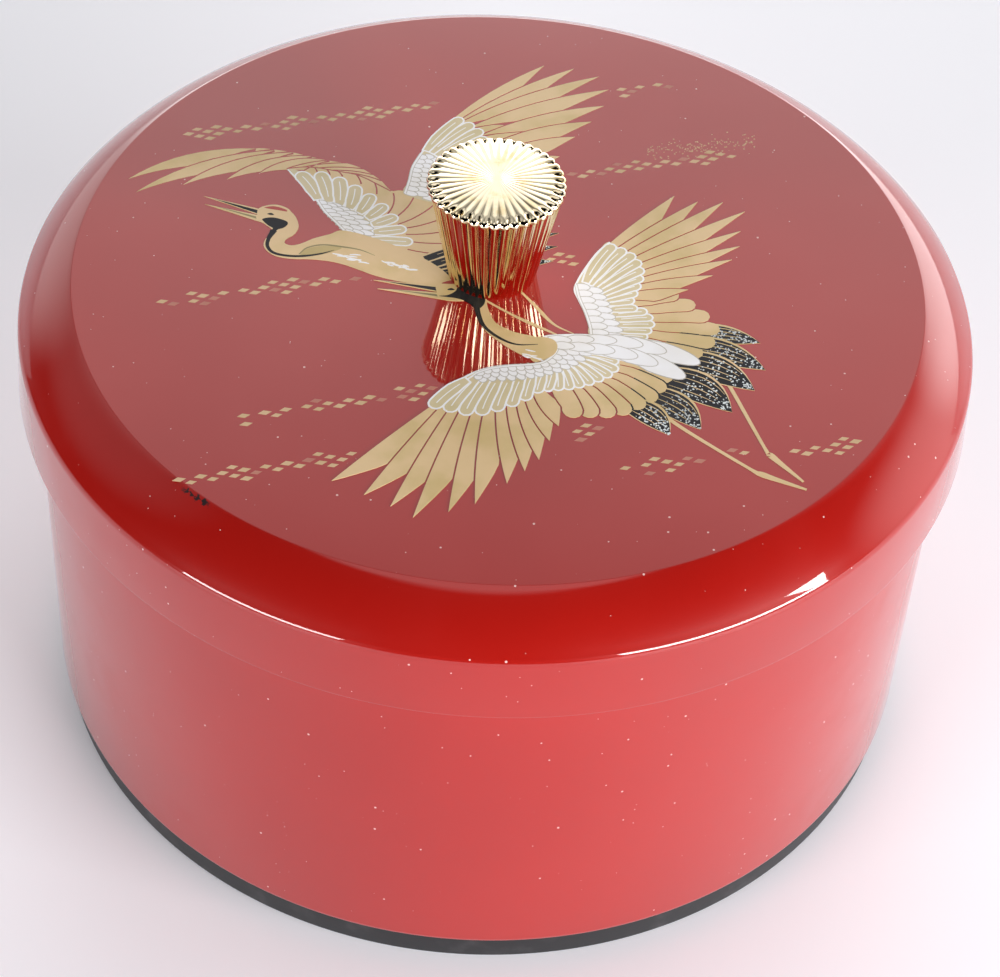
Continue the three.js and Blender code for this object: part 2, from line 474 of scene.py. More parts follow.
def knob():
    points, rings = [(KNOB_OFFSET, 0, LID_TOP)], []
    around = KNOB_FLUTES * STEPS_PER_FLUTE
    for radius, height, inwards, down in knob_levels():
        rings.append(list(range(len(points), len(points) + around)))
        for i in range(around):
            angle = math.tau * i / around
            groove = 1 - abs(math.cos(angle * KNOB_FLUTES / 2))
            reach = radius - inwards * groove
            x, y = reach * math.cos(angle), reach * math.sin(angle)
            points.append((KNOB_OFFSET + x, y, LID_TOP + height - down * groove))
    points.append((KNOB_OFFSET, 0, LID_TOP + KNOB_HEIGHT))
    faces = []
    for i in range(around):
        j = (i + 1) % around
        faces.append((0, rings[0][j], rings[0][i]))
        for low, high in zip(rings, rings[1:]):
            faces.append((low[i], low[j], high[j], high[i]))
        faces.append((rings[-1][i], rings[-1][j], len(points) - 1))
    return mesh_piece("fluted_knob", points, faces, [gold_plate()], smooth_angle=32)


# Picture: curves and outlines, in millimetres on the lid's top

def stretch(a, b, c, d, steps):
    """The stretch from b up to c of a smooth curve through four places, without c itself."""
    places = []
    for i in range(steps):
        t = i / steps
        square = (2 * a - 5 * b + 4 * c - d) * t ** 2
        cube = (3 * b - a - 3 * c + d) * t ** 3
        places.append(0.5 * (2 * b + (c - a) * t + square + cube))
    return places


def through(places):
    """A smooth curve through some places."""
    p = [Vector(place) for place in places]
    p = [2 * p[0] - p[1]] + p + [2 * p[-1] - p[-2]]
    curve = []
    for a, b, c, d in zip(p, p[1:], p[2:], p[3:]):
        curve += stretch(a, b, c, d, CURVE_STEPS)
    return curve + [p[-2]]


def closed_through(places):
    """A smooth outline through some places."""
    p = [Vector(place) for place in places]
    outline = []
    for a, b, c, d in zip(p[-1:] + p, p, p[1:] + p[:1], p[2:] + p[:2]):
        outline += stretch(a, b, c, d, OUTLINE_STEPS)
    return outline


def along(curve, share):
    """The place at a share of a curve's length."""
    lengths = [(b - a).length for a, b in zip(curve, curve[1:])]
    left = share * sum(lengths)
    for a, b, length in zip(curve, curve[1:], lengths):
        if left <= length:
            return a.lerp(b, left / length if length else 0)
        left -= length
    return curve[-1].copy()


def grown(outline, by):
    """An outline moved outwards by a distance, or inwards by a negative one, less at keen corners."""
    moved = []
    for a, b, c in zip([outline[-1]] + outline[:-1], outline, outline[1:] + [outline[0]]):
        before, after = (b - a).normalized(), (c - b).normalized()
        normal = Vector((before.y + after.y, -before.x - after.x))
        spread = normal.length / 2
        if spread < NO_SPREAD:
            moved.append(b.copy())
            continue
        moved.append(b + normal.normalized() * by / max(spread, MITRE_LIMIT))
    return moved


def anticlockwise(outline):
    """The outline itself, or turned round where it runs clockwise."""
    area = sum(a.x * b.y - b.x * a.y for a, b in zip(outline, outline[1:] + [outline[0]]))
    return outline if area > 0 else outline[::-1]


def feather(root, tip, width, bend=0.0, sharp=0.0, cut=None, heel=0.6, steps=9):
    """A feather's outline. Its middle bows to the left by the bend, its tip goes from round to keen,
    its sides run on to the cut, a share of its length, and the heel is its share of width at the root."""
    root, tip = Vector(root), Vector(tip)
    run = tip - root
    side = Vector((-run.y, run.x)).normalized()
    middle = (root + tip) / 2 + side * bend
    round_cut = 1 - min(0.8, 0.55 * width / run.length)
    taper_from = lerp(round_cut, 0.5, sharp) if cut is None else cut
    left, right = [], []
    for i in range(steps + 1):
        t = 1 - (1 - i / steps) ** lerp(1.7, 1.1, sharp)
        place = root * (1 - t) ** 2 + middle * 2 * t * (1 - t) + tip * t ** 2
        slope = (middle - root) * (1 - t) + (tip - middle) * t
        normal = Vector((-slope.y, slope.x)).normalized()
        past = max(0.0, (t - taper_from) / (1 - taper_from))
        taper = math.sqrt(max(0.0, 1 - past ** 2)) * (1 - sharp) + (1 - past) ** 0.9 * sharp
        half = width / 2 * min(1.0, heel + (1 - heel) * t / 0.35) * taper
        left.append(place + normal * half)
        right.append(place - normal * half)
    return anticlockwise(left[:-1] + [tip] + right[-2::-1])


def quadratic(start, middle, end, steps):
    """A curve from the start to the end, drawn towards the middle on its way."""
    shares = [i / steps for i in range(steps + 1)]
    return [start * (1 - t) ** 2 + middle * 2 * t * (1 - t) + end * t ** 2 for t in shares]


def blade(root, tip, width, bow, cut=0.6, heel=0.5, steps=10):
    """A keen feather. Its leading edge bows out on its way from the root to the tip. Its body lies to
    the left of that edge at a positive width, or to the right at a negative one."""
    root, tip = Vector(root), Vector(tip)
    run = tip - root
    side = Vector((-run.y, run.x)).normalized() * math.copysign(1, width)
    edge = quadratic(root, (root + tip) / 2 - side * bow * 2, tip, steps)
    back = []
    for i, place in enumerate(edge):
        t = i / steps
        past = max(0.0, (t - cut) / (1 - cut))
        full = min(1.0, heel + (1 - heel) * t / 0.4)
        back.append(place + side * abs(width) * full * (1 - past ** 1.2))
    return anticlockwise(edge + back[-2::-1])


def ribbon(curve, widths):
    """A band along a curve whose width runs through some values from its start to its end."""
    left, right = [], []
    last = len(curve) - 1
    for i, place in enumerate(curve):
        slope = curve[min(i + 1, last)] - curve[max(i - 1, 0)]
        normal = Vector((-slope.y, slope.x)).normalized()
        station = i / last * (len(widths) - 1)
        whole = min(int(station), len(widths) - 2)
        half = lerp(widths[whole], widths[whole + 1], station - whole) / 2
        left.append(place + normal * half)
        right.append(place - normal * half)
    return anticlockwise(left + right[::-1])


def spot(place, radius, sides, turn=0.0):
    """A small regular outline around a place."""
    place = Vector(place)
    angles = [turn + math.tau * i / sides for i in range(sides)]
    return [place + Vector((math.cos(a), math.sin(a))) * radius for a in angles]


class Picture:
    """Flat shapes that cover each other in turn, cut into one thin film with a slot for each colour."""

    slots = [
        "gold", "covert", "white", "line", "black", "silver", "crown", "shade", "khaki", "flake", "worn",
    ]
    materials = []
    films = 0

    def __init__(self, name):
        self.name = name
        self.shapes = []

    def add(self, slot, outline):
        """Covers what is below with a colour, or lays the lacquer bare where the slot is None."""
        self.shapes.append((slot, anticlockwise(list(outline))))

    def gold_feather(self, outline):
        self.add(None, grown(outline, GAP))
        self.add("gold", outline)

    def covert(self, outline):
        """A pale feather with a white edge and a white shaft."""
        self.add("white", grown(outline, COVERT_EDGE / 2))
        self.add("covert", grown(outline, -COVERT_EDGE / 2))
        middle = [(a + b) / 2 for a, b in zip(outline, outline[::-1])][1:len(outline) // 2 - 2]
        self.add("white", ribbon(middle, [COVERT_SHAFT, COVERT_SHAFT]))

    def tile(self, outline):
        self.add("line", grown(outline, TILE_EDGE / 2))
        self.add("white", grown(outline, -TILE_EDGE / 2))

    def arm(self, edge, rest):
        """The fill of a wing's front part, with a white line along its leading edge."""
        self.add("covert", closed_through(edge + rest))
        self.add("white", ribbon(through(edge), ARM_LINE))

    def seams(self, starts, ends, bow):
        """Thin bare lines from places to other places, bowed to the left of their run."""
        for start, end in zip(starts, ends):
            start, end = Vector(start), Vector(end)
            side = Vector((start.y - end.y, end.x - start.x)).normalized()
            line = quadratic(start, (start + end) / 2 + side * bow * 2, end, 6)
            self.add(None, ribbon(line, [GAP, GAP]))

    def fan(self, paint, roots, tips, count, width, bend=(0, 0), **shape):
        """Feathers side by side from one curve to another, each over the one before it."""
        roots, tips = through(roots), through(tips)
        for i in range(count):
            share = i / (count - 1)
            size, bow = lerp(*width, share), lerp(*bend, share)
            paint(feather(along(roots, share), along(tips, share), size, bow, **shape))

    def blades(self, roots, tips, width, bow, **shape):
        """Keen feathers from evenly spaced roots to their own tips, each over the one before it."""
        roots = through(roots)
        for i, tip in enumerate(tips):
            share = i / (len(tips) - 1)
            size, bulge = lerp(*width, share), lerp(*bow, share)
            self.gold_feather(blade(along(roots, share), tip, size, bulge, **shape))

    def tiles(self, start, end, count, rows):
        """Rows of small rounded tiles between two curves, the far row first."""
        start, end = through(start), through(end)
        width = TILE_OVERLAP * sum((b - a).length for a, b in zip(start, start[1:])) / count
        for row in reversed(range(rows)):
            for i in range(count):
                across = (i + 0.3 + 0.4 * (row % 2)) / count
                a, b = along(start, across), along(end, across)
                tile = (b - a) / rows
                root = a + tile * max(0, row - 0.25)
                tip = a + tile * (row + 1.2)
                self.tile(feather(root, tip, width, cut=0.35, heel=0.8, steps=7))
        self.add("line", ribbon(start, [TILE_RIM, TILE_RIM]))
        self.add("white", ribbon(start, [TILE_RIM_LINE, TILE_RIM_LINE]))

    def finish(self):
        """Cuts the shapes at every crossing, keeps the top colour of each bit, and makes the film."""
        self.add(None, spot((KNOB_OFFSET, 0), KNOB_BASE_RADIUS, 48))
        places, outlines = [], []
        for _, outline in self.shapes:
            outlines.append(list(range(len(places), len(places) + len(outline))))
            places += outline
        points, _, bits, _, _, owners = delaunay_2d_cdt(places, [], outlines, 1, MERGE_DISTANCE)
        kept = []
        for bit, owner in zip(bits, owners):
            slot = self.shapes[max(owner)][0] if owner else None
            if slot:
                kept.append((tuple(bit), self.slots.index(slot)))
        self.film(points, kept)

    def film(self, points, kept):
        """A thin closed film from the kept bits, with its top a little above the film before it."""
        low = LID_TOP
        high = LID_TOP + FILM * (Picture.films + 1)
        Picture.films += 1
        count = len(points)
        solid = [(p.x, p.y, high) for p in points] + [(p.x, p.y, low) for p in points]
        edges = {(a, b) for bit, _ in kept for a, b in zip(bit, bit[1:] + bit[:1])}
        faces, slots = [], []
        for bit, slot in kept:
            faces.append(bit)
            faces.append(tuple(corner + count for corner in reversed(bit)))
            slots += [slot, slot]
            for a, b in zip(bit, bit[1:] + bit[:1]):
                if (b, a) not in edges:
                    faces.append((a, a + count, b + count, b))
                    slots.append(slot)
        used = sorted({corner for face in faces for corner in face})
        place = {corner: i for i, corner in enumerate(used)}
        faces = [tuple(place[corner] for corner in face) for face in faces]
        solid = [solid[i] for i in used]
        piece = mesh_piece(self.name, solid, faces, self.materials, smooth_angle=20)
        piece.data.polygons.foreach_set("material_index", slots)


# Picture: the two cranes

def rear_near_wing():
    wing = Picture("rear_crane_near_wing")
    tips = [(-84.5, 23.7), (-82.2, 19.3), (-72.1, 22.8), (-62.6, 25.6), (-55.4, 28.6)]
    crest = [
        (-57.4, 37.1), (-50.1, 36.8), (-45.2, 35.6), (-40.2, 34.4),
        (-36.1, 33.8), (-32.5, 32.2), (-28.3, 28.7),
    ]
    right = [(-25.6, 25.2), (-23.4, 25.4), (-19, 24.4), (-13, 20.5), (-9.4, 13), (-8.8, 3.4), (-18, 2.8)]
    below = [(-26, 6), (-28, 12), (-34, 20), (-40, 26), (-47, 30), (-53, 32.6)]
    wing.add("gold", closed_through(crest + right + below))
    roots = [(-57.4, 37.1), (-48.6, 36.5), (-40.4, 34.5)]
    wing.blades(roots, tips, (4.6, 4.0), (3.4, 2.4), cut=0.4, heel=0.0)
    low = [
        (-49.6, 30.7), (-45.9, 31.6), (-42.4, 31.6), (-39.4, 31.1),
        (-36.4, 30.6), (-33.9, 30.1), (-31.3, 28.8),
    ]
    wing.add(None, ribbon(through(low + [(-29.2, 27.4), (-25.6, 25)]), [GAP, GAP]))
    wing.seams([(-40.4, 34.6), (-36, 34), (-32.2, 32.2), (-30, 30.4), (-28, 28.4)], low[:5], -0.5)
    inner = [(-42.4, 28.9), (-39.7, 29.2), (-36.8, 29.1), (-32.4, 26.8), (-28.7, 23.6)]
    wing.seams(inner, [(-43.3, 31.6), (-40.6, 31.3), (-38.2, 31), (-33.8, 30.1), (-29.4, 27.5)], -0.2)
    inner = [
        (-25.8, 17), (-24.2, 15.7), (-23.3, 13.6), (-22.1, 12.3),
        (-21.3, 10.4), (-20.8, 8.2), (-20.6, 5.4),
    ]
    outer = [(-25, 24.4), (-20.2, 24.2), (-15.4, 21.6), (-12, 18), (-10, 13.6), (-9.2, 9), (-8.8, 5)]
    wing.seams(inner, outer, -0.7)
    edge = [(-49.3, 30.4), (-41.7, 20.1), (-39.7, 16.5), (-36.9, 13), (-34.2, 9.5)]
    wing.arm(edge, [(-33.9, 5.5), (-30, 4.6), (-24, 5), (-24, 12), (-29, 19), (-34, 24), (-42, 28)])
    roots = [(-41.5, 20.5), (-36, 18.6), (-31, 15.8), (-28.8, 12), (-28.8, 5.5)]
    tips = [
        (-46.9, 29.6), (-42.8, 30.2), (-38.4, 29.1), (-29.3, 23.1),
        (-23.4, 16.1), (-19.6, 7.7), (-20.9, 3.6),
    ]
    wing.fan(wing.covert, roots, tips, 10, (3.5, 2.7), (-1.1, 0))
    wing.tiles(edge[1:], [(-36.9, 18.8), (-34.4, 17.4), (-31.2, 15), (-29, 11.5), (-28.5, 6.3)], 8, 3)
    wing.finish()


def rear_far_wing():
    wing = Picture("rear_crane_far_wing")
    base = [(-12, 47), (-4, 51), (4, 50), (9, 44), (8, 34), (6, 24), (2, 14), (-8, 14), (-12, 30)]
    wing.add("gold", closed_through(base))
    secondaries = [(4, 14), (9, 24), (11.5, 35)]
    wing.fan(wing.gold_feather, [(-4, 16), (-6, 24), (-7, 32)], secondaries, 6, (4.4, 4.8), (0.6, 0.6))
    tips = [
        (7.5, 74.8), (14.6, 74.3), (20.5, 71.8), (22.9, 67),
        (21.9, 60.7), (19.1, 54.5), (15.4, 48.5), (12, 41),
    ]
    roots = [(-18.2, 43), (-12.5, 49.6), (-8.5, 48.6), (-4, 44.5), (-2, 36)]
    wing.blades(roots, tips, (-5.0, -4.4), (2.4, 1.6), heel=0.0)
    edge = [(-22.4, 24.5), (-21.7, 29), (-21.2, 34), (-19.6, 39), (-17.2, 44.4), (-14.2, 49), (-11.6, 51.6)]
    wing.arm(edge, [(-6, 46), (-3.6, 39), (-6, 24), (-14, 21.5)])
    lower = [(-3, 20), (-2, 30), (-3.4, 40)]
    wing.fan(wing.covert, [(-14, 22), (-14.5, 30), (-15, 36)], lower, 8, (2.7, 3.0), (0.6, 0.8))
    upper = [(-3.6, 43), (-6.2, 49.2), (-10.9, 52.9)]
    wing.fan(wing.covert, [(-14.6, 36.5), (-16.5, 38.8), (-18.6, 40)], upper, 5, (2.9, 2.7), (0.8, 1.2))
    wing.tiles(edge[:4], [(-15.2, 22.4), (-15.4, 31), (-15.4, 38)], 9, 3)
    wing.finish()


def rear_body():
    crane = Picture("rear_crane_body")
    legs = (
        [(-4, -9), (4, -14.5), (11, -18.4), (13.8, -19.9)],
        [(3, -4), (7.2, -9.5), (12, -16), (16.6, -18.9)],
    )
    for leg in legs:
        crane.add("gold", ribbon(through(leg), [0.5, 0.55, 0.9, 0.45, 0.2]))
    plumes = (
        ((-16, 1), (12.6, 14)),
        ((-15, -1), (12.4, 9.4)),
        ((-14, -3), (11.6, 4.4)),
        ((-14, -4), (7, -1)),
    )
    for root, tip in plumes:
        plume(crane, root, tip, 5.0, 2.2)
    nape = [
        (-54.6, 15.7), (-52.9, 17.2), (-50.5, 17.6), (-48, 16.4),
        (-46.1, 14.1), (-45.1, 10.8), (-45.8, 8.1),
    ]
    back = [(-47.4, 6.3), (-47.6, 4.9), (-46, 4.3), (-43.9, 5.2), (-41.4, 7.1), (-38.1, 8.8), (-34.9, 10.4)]
    rump = [(-27, 8), (-18, 3.4), (-12.4, -1), (-10.4, -4.8), (-15, -6.2)]
    belly = [(-21.6, -5.4), (-27, -4), (-30.5, -2.5), (-34.1, -1), (-37.7, -0.1), (-41.7, 0.1), (-45, -0.1)]
    throat = [
        (-48.4, 0.2), (-50.7, 1.4), (-52.1, 3.5), (-52, 5.7),
        (-51.1, 7.6), (-50.9, 9.3), (-53.4, 11.9),
    ]
    crane.add("gold", closed_through(nape + back + rump + belly + throat))
    flank = [(-44, 1.6), (-42.4, 3.6), (-39, 4.8), (-35, 4.5), (-38, 2.4), (-41.5, 1.2)]
    crane.add("khaki", closed_through(flank))
    shoulder = [(-44.2, 1.5), (-42.6, 3.8), (-39.4, 5.1), (-35.4, 4.9), (-31, 4.2), (-27.6, 2.6)]
    crane.add("shade", ribbon(through(shoulder), [0.2, 0.4, 0.45, 0.5, 0.35, 0.1]))
    wisps(crane, (-35.4, 2.1), (-29.8, -0.2), 11)
    wisps(crane, (-24.6, 0.6), (-18.6, -2.0), 12)
    stripe = [
        (-50.4, 9), (-51.3, 6.1), (-51.3, 3.6), (-49.9, 1.6),
        (-47, 0.8), (-43.2, 1), (-39.5, 2.1), (-36.6, 3.6),
    ]
    crane.add("black", ribbon(through(stripe), [1.5, 0.9, 0.8, 0.75, 0.7, 0.7, 0.5, 0.1]))
    at = head(crane, (-54.0, 13.9), (-66.9, 17.9))
    cheek = [
        (-1, -1), (-2.3, 0.1), (-3.9, 0.5), (-6.1, 0.3),
        (-6.7, -0.6), (-6.3, -2), (-5.4, -3), (-5, -4.8),
    ]
    cheek += [(-4, -4), (-4.3, -3), (-3, -2.5), (-1.8, -1.8)]
    crane.add("black", closed_through([at(*place) for place in cheek]))
    crane.finish()


def head(crane, root, tip):
    """A crane's head in profile, with its beak from the root to the tip. Its places are given along the
    beak and towards the crown, and the function for them is returned."""
    root, tip = Vector(root), Vector(tip)
    ahead = (tip - root).normalized()
    above = Vector((ahead.y, -ahead.x))
    size = (tip - root).length / BEAK_LENGTH

    def at(along_beak, up):
        return root + (ahead * along_beak + above * up) * size

    crane.add("gold", [at(-2, 2), at(13.6, 1.2), at(-1.2, -0.1)])
    crane.add("black", [at(0.9, 1.35), at(11.8, 1.2), at(0.6, 0.25)])
    crane.add("gold", [at(-0.5, -0.1), at(12.4, -1.2), at(-1.8, -2.1)])
    crane.add("shade", [at(0.6, -0.75), at(10.2, -0.95), at(0.2, -1.4)])
    skull = [
        (1.1, 1.5), (-0.1, 3.5), (-2.2, 4.6), (-5, 4.2),
        (-6.8, 2), (-6.2, -1), (-2.7, -2.1), (-0.4, -1.6),
    ]
    crane.add("gold", closed_through([at(*place) for place in skull]))
    crown = [(0.1, 2.7), (-1.7, 3.9), (-4.3, 3.9), (-4.9, 3.3), (-3, 3), (-1.1, 2.7)]
    crane.add("crown", closed_through([at(*place) for place in crown]))
    eye = [(-1.3, 1.0), (-2, 1.6), (-2.8, 1.2), (-2, 0.9)]
    crane.add("black", closed_through([at(*place) for place in eye]))
    return at


def wisps(crane, start, end, count):
    """A soft patch of short white strokes, scattered along a line."""
    draw = random.Random(count)
    start, end = Vector(start), Vector(end)
    for i in range(count):
        place = start.lerp(end, (i + 0.5) / count) + Vector((draw.gauss(0, 0.4), draw.gauss(0, 0.55)))
        stroke = Vector((draw.uniform(0.7, 1.3), draw.uniform(-0.5, 0.1)))
        bend = draw.uniform(-0.4, 0.4)
        crane.add("white", feather(place - stroke, place + stroke, 0.42, bend, sharp=0.5, steps=4))


def plume(crane, root, tip, width, bow):
    """A black tail plume: bowed, gold-edged on its left, with pale shafts and silver specks."""
    draw = random.Random(f"{tip}")
    root, tip = Vector(root), Vector(tip)
    run = tip - root
    side = Vector((-run.y, run.x)).normalized()

    def edge(offset, bulge):
        start = root + side * offset
        middle = start.lerp(tip, 0.52) + side * bulge
        return quadratic(start, middle, tip, 9)

    high, low = edge(width / 2, bow * 2), edge(-width / 2, -1.2)

    def between(share, across):
        """The place at a share of the length, across from the right edge at 0 to the left edge at 1."""
        return along(low, share).lerp(along(high, share), across)

    crane.add("gold", edge(width / 2 + 0.4, bow * 2 + 0.7) + edge(-width / 2 - 0.15, -1.4)[-2::-1])
    crane.add("black", high + low[-2::-1])
    for across in (0.2, 0.42, 0.64, 0.84):
        shaft = [between(0.1 + 0.12 * i, across + 0.02 * i) for i in range(6)]
        crane.add("gold", ribbon(shaft, [0.1, 0.26, 0.1]))
    for _ in range(SILVER_SPECKS):
        share = 1 - draw.random() ** 0.85 * 0.75
        place = between(share * 0.97, draw.uniform(0.06, 0.94))
        crane.add("silver", spot(place, draw.uniform(0.12, 0.27), 5, draw.random()))


def front_tail():
    crane = Picture("front_crane_tail_and_legs")
    legs = (
        [(36, -40), (38.1, -44.4), (53, -56.2), (56.4, -58.2), (65, -61.6)],
        [(47, -27), (49.4, -31.3), (56.8, -50.4), (58.2, -52.6), (64.4, -59.4)],
    )
    for leg in legs:
        crane.add("gold", ribbon(through(leg), [0.8, 0.85, 0.7, 1.5, 0.5]))
    base = [(40, -16), (47, -18), (50, -26), (46, -34), (38, -40), (30, -42), (30, -30)]
    crane.add("black", closed_through(base))
    plumes = (
        ((42, -16.4), (56.6, -18.2), 4.6, 2.2),
        ((41, -20.6), (57.5, -26.6), 6.2, 3.0),
        ((39.4, -25.2), (55.1, -33.2), 6.6, 3.5),
        ((36.6, -30.6), (50.2, -40.2), 7.2, 3.7),
        ((33.2, -36.2), (43.6, -46), 5.8, 3.1),
        ((29, -39.6), (37.1, -48.1), 4.6, 2.6),
    )
    for root, tip, width, bow in plumes:
        plume(crane, root, tip, width, bow)
    crane.finish()


def front_far_wing():
    wing = Picture("front_crane_far_wing")
    secondaries = [(44.1, -23.4), (46.9, -19.6), (48, -15), (45.8, -10.7), (42.8, -7.2), (39.2, -4.2)]
    wing.fan(wing.gold_feather, [(30, -19), (30, -14), (29, -8)], secondaries, 6, (4.6, 3.8), (1.4, 0.9))
    tips = [(38.3, 29.3), (43.6, 27.8), (49.3, 28.1), (54.2, 25.3), (53.1, 18.4), (52.8, 13.2), (51, 8.5)]
    roots = [(22.6, 9.6), (27.3, 7.6), (29.2, 1.6), (27.8, -5)]
    wing.blades(roots, tips + [(46.6, 2.8), (41.2, -2.4)], (-5.2, -3.6), (0.5, 0.8), cut=0.45)
    edge = [
        (23.9, 11.9), (21.3, 8.3), (18.8, 2.9), (17, -2),
        (16.5, -4.8), (17.4, -7.7), (18.7, -11.4), (19.8, -15),
    ]
    wing.arm(edge, [(20.2, -19), (27, -19), (31, -14), (28.6, -8), (29, 0), (28, 7)])
    lower = [(32.4, -18.6), (33.9, -14.4), (32.8, -10.8), (30.2, -9.6)]
    wing.fan(wing.covert, [(26, -18.6), (25.4, -14.6), (24.2, -10.6)], lower, 6, (2.4, 2.4), (0.4, 0.5))
    upper = [(29.5, -7), (31.3, 0.6), (31.1, 5.2), (28.9, 8.9), (24.8, 11.2)]
    wing.fan(wing.covert, [(23.6, -8.6), (22, -5), (18.8, -2.2)], upper, 9, (2.7, 2.7), (0.5, 1.2))
    inner = [(21.6, -3.2), (23.4, -8), (24.8, -12.5), (26.4, -16.4), (26.8, -19.6)]
    wing.tiles([(16.7, -3), (17.5, -7.2), (18.9, -11.6), (20, -16), (20.4, -19.6)], inner, 8, 2)
    wing.finish()


def front_near_wing():
    wing = Picture("front_crane_near_wing")
    secondaries = [
        (37.6, -31.6), (36.2, -35), (34.2, -38.3), (31, -41.2),
        (26.6, -43.6), (22, -44.2), (17.4, -44.7),
    ]
    roots = [(25, -27), (22, -31), (16, -34), (12.6, -34)]
    wing.fan(wing.gold_feather, roots, secondaries, 8, (4.4, 4.2), (1.2, 1.2))
    tips = [
        (-31.4, -67.3), (-24.6, -70.7), (-19.1, -73.5), (-14.4, -76.2),
        (-7.4, -74), (-2.2, -71.3), (4, -65),
    ]
    roots = [(-12.2, -43.4), (-6.5, -42.1), (-1.2, -41.8), (4, -40.2), (8.2, -36.6)]
    tips += [(7.5, -61.2), (10.3, -57.7), (12.3, -52), (14.1, -47.5)]
    wing.blades(roots, tips, (5.4, 3.8), (0.3, 1.0))
    edge = [
        (-13, -43.8), (-10.9, -40.3), (-7.9, -36.4), (-4.4, -33.1),
        (-0.8, -31.1), (3.3, -30), (6.9, -29.4),
    ]
    below = [(18, -22), (26, -26.4), (25, -31), (16, -35.4), (8, -37.6), (0, -42), (-6, -44)]
    wing.arm(edge + [(10.1, -28.4), (12.6, -25.5)], below)
    short = [(26.2, -27.2), (25.7, -30.6), (21.4, -34.1), (16.4, -36.3), (11.2, -37.2)]
    wing.fan(wing.covert, [(19, -25.5), (17, -27.2), (12.4, -30.6)], short, 9, (2.4, 2.5), (0.6, 0.2))
    long = [(9.2, -38), (5.4, -41.6), (-1, -45.2), (-5.4, -46), (-12.4, -44.4)]
    roots = [(10.4, -31.8), (5, -33.4), (-2, -33.8), (-5.4, -35.2)]
    wing.fan(wing.covert, roots, long, 8, (2.8, 3.2), (-0.4, -1.1))
    rim = [(13.6, -22.6), (12.4, -26), (9.6, -28.8), (3.3, -30.2), (-0.8, -31.4), (-4, -33.2)]
    inner = [(20.4, -24.6), (18.2, -27.6), (13.4, -31.2), (6, -34), (0, -35), (-3.4, -36)]
    wing.tiles(rim, inner, 13, 3)
    wing.finish()


def front_body():
    crane = Picture("front_crane_body_and_neck")
    above = [(9.8, -20.6), (15, -19.2), (21.5, -18.8), (31, -19.2), (36.4, -20.5)]
    below = [(38, -27), (33.6, -29.8), (30, -27.6), (24, -25.8), (19, -24.9), (14, -24)]
    crane.add("white", closed_through(above + below))
    upper = [
        (4, -20.9), (15.1, -21.3), (21.1, -20.4), (25.9, -20.4),
        (31.5, -21.3), (36.3, -22.9), (43.6, -25.9),
    ]
    lower = [
        (6, -23.4), (14, -23), (18.8, -23.3), (23.4, -23.5),
        (29.3, -24.7), (35.7, -27.6), (40.4, -30.7),
    ]
    for share in (1.0, 0.81, 0.68, 0.54, 0.42, 0.3):
        for row in (through(upper), through(lower)):
            length = lerp(0.08, 0.34, share ** 1.5)
            root, tip = along(row, share - length), along(row, share)
            crane.tile(feather(root, tip, lerp(1.2, 5.4, share), bend=0.4, cut=0.3, heel=0.7))
    neck = through([(-3.6, -8.8), (-3.3, -13), (-1.6, -17.8), (2.2, -21.2), (6.6, -23.4), (10.8, -24.6)])
    widths = [2.0, 2.6, 3.2, 4.4, 6.4, 6.8]
    crane.add(None, grown(ribbon(neck, widths), GAP))
    crane.add("gold", ribbon(neck, widths))
    breast = [(9, -20.6), (12.2, -21.2), (13.2, -23.4), (12.2, -26.2), (8.6, -28.4), (7, -26), (7.4, -22.6)]
    crane.add("gold", closed_through(breast))
    wisps(crane, (6.4, -25.8), (9.4, -26.6), 6)
    stripe = [(-4.7, -10), (-4.2, -14), (-2.6, -18.4), (0.6, -21.6), (4.4, -23.4), (9, -23)]
    crane.add("black", ribbon(through(stripe), [1.5, 1.1, 0.8, 0.7, 0.5, 0.15]))
    head(crane, (-12.7, -8.2), (-26.9, -6.9))
    nape = [
        (-12.9, -9.5), (-11, -9), (-9.4, -7.6), (-8.6, -5.8),
        (-6, -6), (-3.2, -8), (-2.9, -11), (-4.4, -12.9),
    ]
    crane.add("black", closed_through(nape + [(-6.4, -11), (-9, -9.9)]))
    crane.finish()


# Picture: bands of small gold diamonds, and flecks

def band(picture, start, end, seed):
    """Diamonds along a slanting line, in two to four rows, some of them worn."""
    draw = random.Random(seed)
    start, end = Vector(start), Vector(end)
    for half_step in range(int(2 * (end - start).length / LATTICE_STEP.length)):
        cluster = 0.5 + 0.5 * math.sin(half_step * 0.75 + seed * 1.7)
        for row in (-2, -1, 0, 1):
            if (half_step + row) % 2 or abs(row + 0.5) > 0.6 + 1.1 * cluster or draw.random() < 0.08:
                continue
            place = start + LATTICE_STEP * half_step / 2 + LATTICE_RISE * row / 2
            size = draw.uniform(0.85, 1.05)
            corners = [place + (DIAMOND_LONG * a + DIAMOND_SHORT * b) * size for a, b in DIAMOND_CORNERS]
            picture.add("worn" if draw.random() < 0.2 else "flake", corners)


